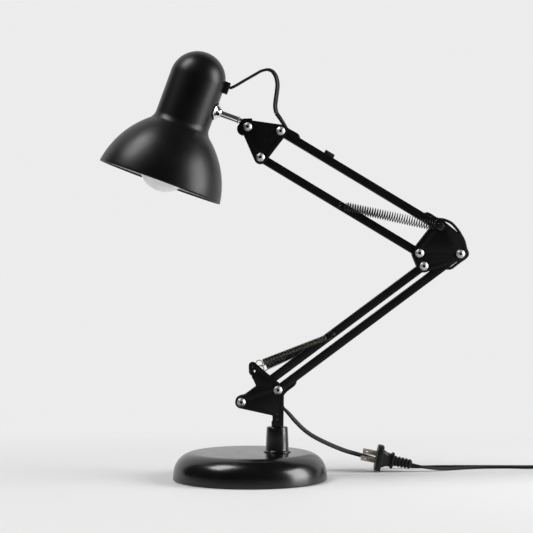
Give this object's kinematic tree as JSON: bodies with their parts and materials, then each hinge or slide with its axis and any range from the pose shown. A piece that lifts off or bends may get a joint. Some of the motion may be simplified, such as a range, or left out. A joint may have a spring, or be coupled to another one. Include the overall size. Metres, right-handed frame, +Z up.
{
  "type": "architect lamp",
  "caption": "Desk lamp with a weighted round base, a swivel bracket, two sprung parallelogram arms of square tube and a bell shade that tilts and turns.",
  "frame": {"origin": "centre of the round base on the table", "axes": "+Z up, +X to the right along the base from its centre towards the post, the arms stand in the XZ plane, +Y to the back"},
  "size_m": [0.6219, 0.1971, 0.4923],
  "materials": {
    "black_enamel": "gloss",
    "black_plate": "satin",
    "chrome": "polished",
    "steel": "plain",
    "spring_steel": "blued",
    "cast_iron": "rough",
    "black_plastic": "gloss",
    "black_rubber": "matte",
    "cord_black": "matte",
    "holder_white": "matte",
    "frosted_glass": "frosted",
    "brass": "polished"
  },
  "bodies": {
    "base": {"base_cover": "black_enamel", "base_weight": "cast_iron", "base_plate": "steel", "base_foot_pad": "black_rubber", "post_collar": "black_enamel", "collar_nut": "steel", "supply_cord": "cord_black", "cord_coil": "cord_black", "plug_cord": "cord_black", "plug_body": "black_plastic", "plug_blades": "brass"},
    "lower_bracket": {"swivel_spindle": "black_plate", "spindle_ring": "steel", "bracket_front_cheek": "black_plate", "bracket_rear_cheek": "black_plate", "bracket_rivets": "black_plate", "bracket_screws": "chrome", "bracket_nuts": "steel", "bracket_washers": "black_rubber", "bracket_cord": "cord_black"},
    "lower_cable_arm": {"lower_cable_bar": "black_enamel", "lower_lead": "cord_black"},
    "lower_spring_arm": {"lower_spring_bar": "black_enamel", "lower_spring_pin": "steel"},
    "lower_springs": {"lower_spring_front": "spring_steel", "lower_spring_rear": "spring_steel"},
    "elbow": {"elbow_front_plate": "black_plate", "elbow_rear_plate": "black_plate", "elbow_screws": "chrome", "elbow_nuts": "steel", "elbow_pin": "black_plate", "elbow_washers": "black_rubber", "elbow_cord": "cord_black"},
    "upper_cable_arm": {"upper_cable_bar": "black_enamel", "upper_lead": "cord_black", "bar_clip": "black_plate"},
    "upper_spring_arm": {"upper_spring_bar": "black_enamel", "upper_spring_pin": "steel"},
    "upper_springs": {"upper_spring_front": "spring_steel", "upper_spring_rear": "spring_steel"},
    "upper_spring_hooks": {"upper_spring_eyes": "spring_steel"},
    "head_plates": {"head_front_plate": "black_plate", "head_rear_plate": "black_plate", "head_screws": "chrome", "head_nuts": "steel", "head_washers": "black_rubber", "head_cord": "cord_black"},
    "head_stem": {"knuckle": "black_plate", "shade_rod": "chrome", "rod_ring": "chrome", "rod_nut": "steel"},
    "shade": {"rod_washer": "chrome", "shade_gasket": "black_rubber", "shade": "black_enamel", "shade_neck": "black_enamel", "cable_gland": "black_plastic", "lamp_holder": "holder_white", "holder_strap": "steel", "bulb_glass": "frosted_glass", "bulb_cap": "steel"}
  },
  "joints": [
    {"name": "base_swivel", "type": "hinge", "parent": "base", "child": "lower_bracket", "pos_m": [0.0312, 0, 0.0606], "axis": [0, 0, 1], "range_deg": [-175, 175], "deforming": ["supply_cord"]},
    {"name": "lower_arm_tilt", "type": "hinge", "parent": "lower_bracket", "child": "lower_cable_arm", "pos_m": [0.03196, 0, 0.10298], "axis": [0, -1, 0], "range_deg": [-5, 65], "deforming": ["bracket_cord"]},
    {"name": "lower_spring_bar_tilt", "type": "hinge", "parent": "lower_bracket", "child": "lower_spring_arm", "pos_m": [-0.01, 0, 0.0891], "axis": [0, -1, 0], "range_deg": [-5, 65]},
    {"name": "lower_spring_swing", "type": "hinge", "parent": "lower_bracket", "child": "lower_springs", "pos_m": [0.00242, 0, 0.12794], "axis": [0, -1, 0], "range_deg": [-7.1, 91.4], "deforming": ["lower_spring_front", "lower_spring_rear"]},
    {"name": "elbow_level", "type": "hinge", "parent": "lower_cable_arm", "child": "elbow", "pos_m": [0.24123, 0, 0.25896], "axis": [0, -1, 0], "range_deg": [-65, 5]},
    {"name": "upper_arm_tilt", "type": "hinge", "parent": "elbow", "child": "upper_cable_arm", "pos_m": [0.2175, 0, 0.28998], "axis": [0, -1, 0], "range_deg": [-45, 55], "deforming": ["elbow_cord"]},
    {"name": "upper_spring_bar_tilt", "type": "hinge", "parent": "elbow", "child": "upper_spring_arm", "pos_m": [0.19431, 0, 0.25987], "axis": [0, -1, 0], "range_deg": [-45, 55]},
    {"name": "upper_spring_swing", "type": "hinge", "parent": "elbow", "child": "upper_springs", "pos_m": [0.2175, 0, 0.28998], "axis": [0, -1, 0], "range_deg": [-37.6, 45.9], "deforming": ["upper_spring_front", "upper_spring_rear"]},
    {"name": "upper_spring_stretch", "type": "slide", "parent": "upper_springs", "child": "upper_spring_hooks", "axis": [-0.9772, 0, 0.2123], "range_m": [-0.0237, 0.0289], "deforming": ["upper_spring_eyes"]},
    {"name": "head_level", "type": "hinge", "parent": "upper_cable_arm", "child": "head_plates", "pos_m": [0.03506, 0, 0.39991], "axis": [0, -1, 0], "range_deg": [-55, 45]},
    {"name": "head_tilt", "type": "hinge", "parent": "head_plates", "child": "head_stem", "pos_m": [-0.00285, 0, 0.40483], "axis": [0, -1, 0], "range_deg": [-40, 40], "deforming": ["head_cord"]},
    {"name": "shade_turn", "type": "hinge", "parent": "head_stem", "child": "shade", "pos_m": [-0.00145, 0, 0.40868], "axis": [0.9391, 0, -0.3437], "range_deg": [-90, 90]}
  ],
  "couplings": [
    {"joint": "lower_spring_bar_tilt", "follows": "lower_arm_tilt", "ratio": 1},
    {"joint": "lower_spring_swing", "follows": "lower_arm_tilt", "ratio": 1.405},
    {"joint": "elbow_level", "follows": "lower_arm_tilt", "ratio": -1},
    {"joint": "upper_spring_bar_tilt", "follows": "upper_arm_tilt", "ratio": 1},
    {"joint": "upper_spring_swing", "follows": "upper_arm_tilt", "ratio": 0.832},
    {"joint": "upper_spring_stretch", "follows": "upper_arm_tilt", "m_per_rad": 0.03},
    {"joint": "head_level", "follows": "upper_arm_tilt", "ratio": -1}
  ]
}
